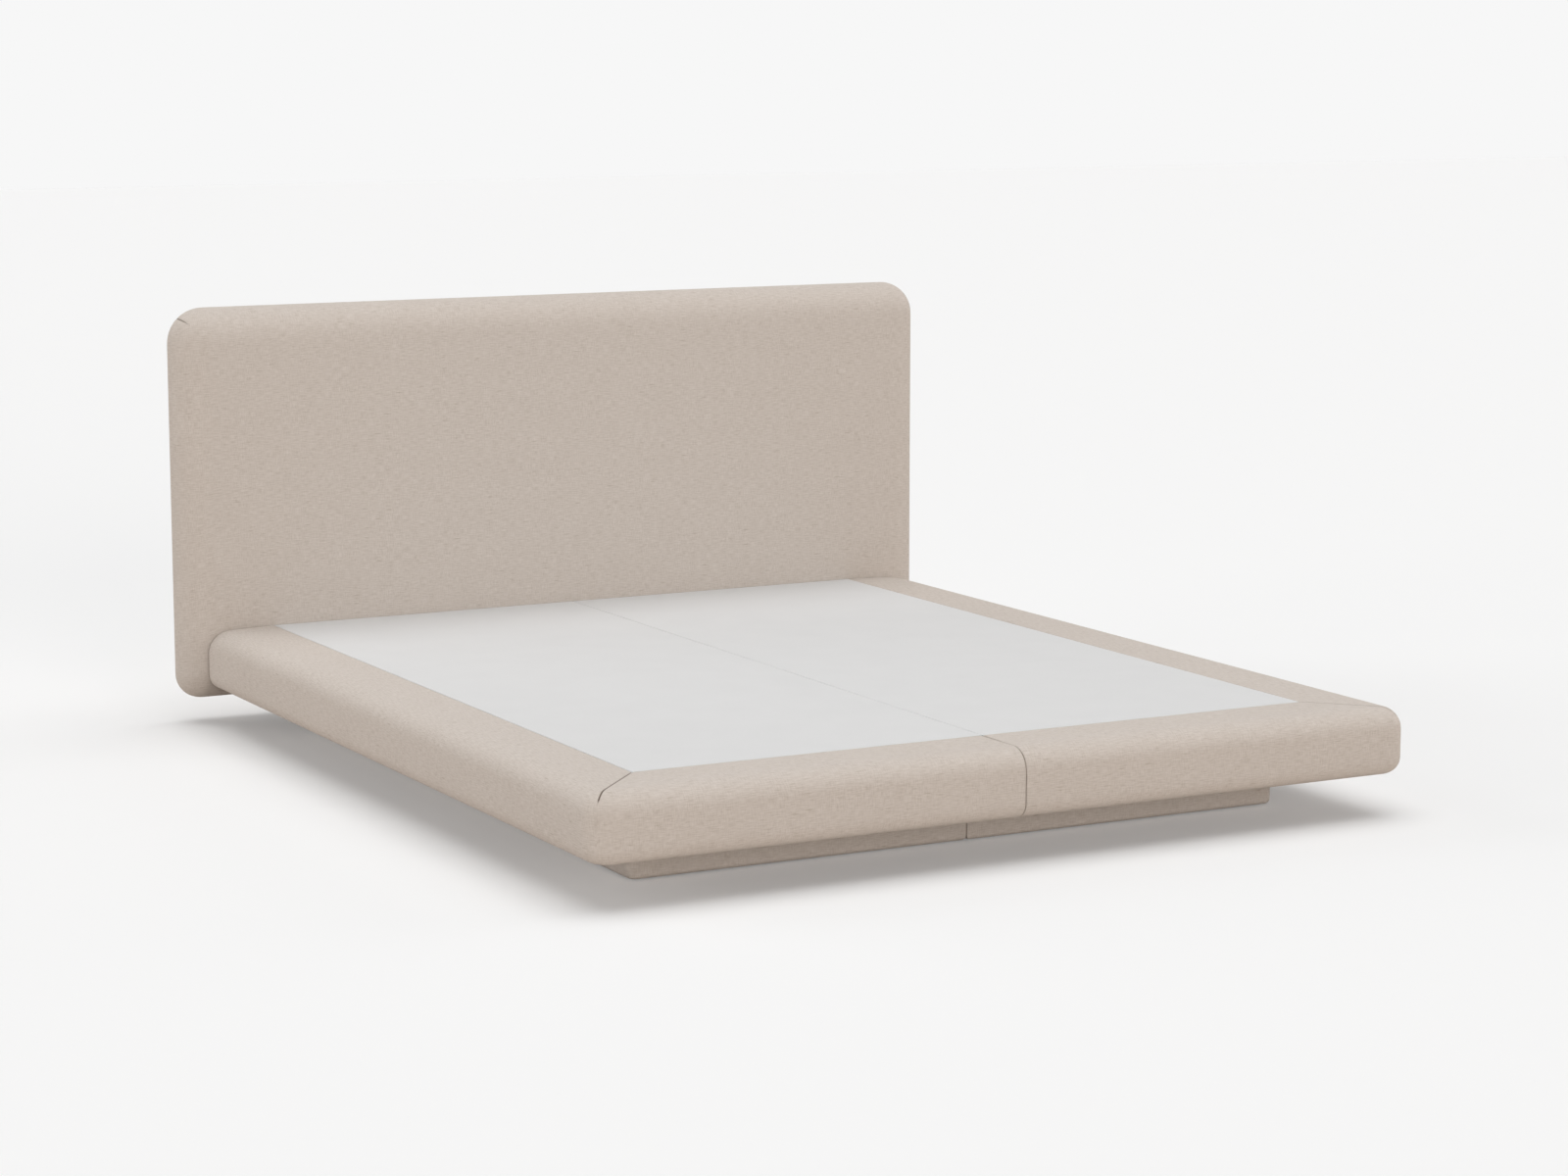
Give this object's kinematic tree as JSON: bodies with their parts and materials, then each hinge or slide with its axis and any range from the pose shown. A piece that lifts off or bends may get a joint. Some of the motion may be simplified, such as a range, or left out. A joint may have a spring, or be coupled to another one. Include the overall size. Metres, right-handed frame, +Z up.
{
  "type": "upholstered bed",
  "caption": "Low upholstered platform bed with a tall padded headboard, a wide padded rim round a flush mattress deck in two halves, and a recessed plinth on levelling glides.",
  "frame": {"origin": "on the floor, midway between the bed's sides and midway between the foot face and the headboard's back", "axes": "+X to the right seen from the foot, +Y from the foot to the headboard, +Z up"},
  "size_m": [2.044, 2.311, 1.01],
  "materials": {
    "linen_fabric": "matte",
    "deck_cloth": "matte",
    "underside_cloth": "matte",
    "foam": "matte",
    "pine": "matte",
    "birch_plywood": "satin",
    "beech": "satin",
    "zinc_steel": "satin",
    "glide_nylon": "matte"
  },
  "bodies": {
    "bed": {"bearers_left": "pine", "bearers_right": "pine", "centre_rail_left": "pine", "centre_rail_right": "pine", "coupling_bolts": "zinc_steel", "coupling_nuts": "zinc_steel", "deck_pad_left": "deck_cloth", "deck_pad_right": "deck_cloth", "foot_foam_left": "foam", "foot_foam_right": "foam", "foot_rail_left": "pine", "foot_rail_right": "pine", "glide_nuts": "zinc_steel", "head_rail_left": "pine", "head_rail_right": "pine", "headboard_back_board": "birch_plywood", "headboard_back_cover": "linen_fabric", "headboard_bottom_rail": "pine", "headboard_cover": "linen_fabric", "headboard_foam": "foam", "headboard_front_board": "birch_plywood", "headboard_middle_stile_left": "pine", "headboard_middle_stile_right": "pine", "headboard_outer_stile_left": "pine", "headboard_outer_stile_right": "pine", "headboard_spacers": "beech", "headboard_top_rail": "pine", "keyhole_plates": "zinc_steel", "plinth_blocks_left": "pine", "plinth_blocks_right": "pine", "plinth_bolts": "zinc_steel", "plinth_centre_rail_left": "pine", "plinth_centre_rail_right": "pine", "plinth_cover_left": "linen_fabric", "plinth_cover_right": "linen_fabric", "plinth_cross_rails_left": "pine", "plinth_cross_rails_right": "pine", "plinth_side_rail_left": "pine", "plinth_side_rail_right": "pine", "rim_cover_left": "linen_fabric", "rim_cover_right": "linen_fabric", "shoulder_bolts": "zinc_steel", "side_foam_left": "foam", "side_foam_right": "foam", "side_rail_left": "pine", "side_rail_right": "pine", "top_board_left": "birch_plywood", "top_board_right": "birch_plywood", "underside_cloth_left": "underside_cloth", "underside_cloth_right": "underside_cloth"},
    "glide_foot_inner_left": {"glide_foot_inner_left": "glide_nylon"},
    "glide_foot_inner_right": {"glide_foot_inner_right": "glide_nylon"},
    "glide_foot_outer_left": {"glide_foot_outer_left": "glide_nylon"},
    "glide_foot_outer_right": {"glide_foot_outer_right": "glide_nylon"},
    "glide_head_inner_left": {"glide_head_inner_left": "glide_nylon"},
    "glide_head_inner_right": {"glide_head_inner_right": "glide_nylon"},
    "glide_head_outer_left": {"glide_head_outer_left": "glide_nylon"},
    "glide_head_outer_right": {"glide_head_outer_right": "glide_nylon"}
  },
  "joints": [
    {"name": "glide_foot_inner_left_screw", "type": "slide", "parent": "bed", "child": "glide_foot_inner_left", "axis": [0, 0, -1], "range_m": [0, 0.01]},
    {"name": "glide_foot_inner_right_screw", "type": "slide", "parent": "bed", "child": "glide_foot_inner_right", "axis": [0, 0, -1], "range_m": [0, 0.01]},
    {"name": "glide_foot_outer_left_screw", "type": "slide", "parent": "bed", "child": "glide_foot_outer_left", "axis": [0, 0, -1], "range_m": [0, 0.01]},
    {"name": "glide_foot_outer_right_screw", "type": "slide", "parent": "bed", "child": "glide_foot_outer_right", "axis": [0, 0, -1], "range_m": [0, 0.01]},
    {"name": "glide_head_inner_left_screw", "type": "slide", "parent": "bed", "child": "glide_head_inner_left", "axis": [0, 0, -1], "range_m": [0, 0.01]},
    {"name": "glide_head_inner_right_screw", "type": "slide", "parent": "bed", "child": "glide_head_inner_right", "axis": [0, 0, -1], "range_m": [0, 0.01]},
    {"name": "glide_head_outer_left_screw", "type": "slide", "parent": "bed", "child": "glide_head_outer_left", "axis": [0, 0, -1], "range_m": [0, 0.01]},
    {"name": "glide_head_outer_right_screw", "type": "slide", "parent": "bed", "child": "glide_head_outer_right", "axis": [0, 0, -1], "range_m": [0, 0.01]}
  ]
}
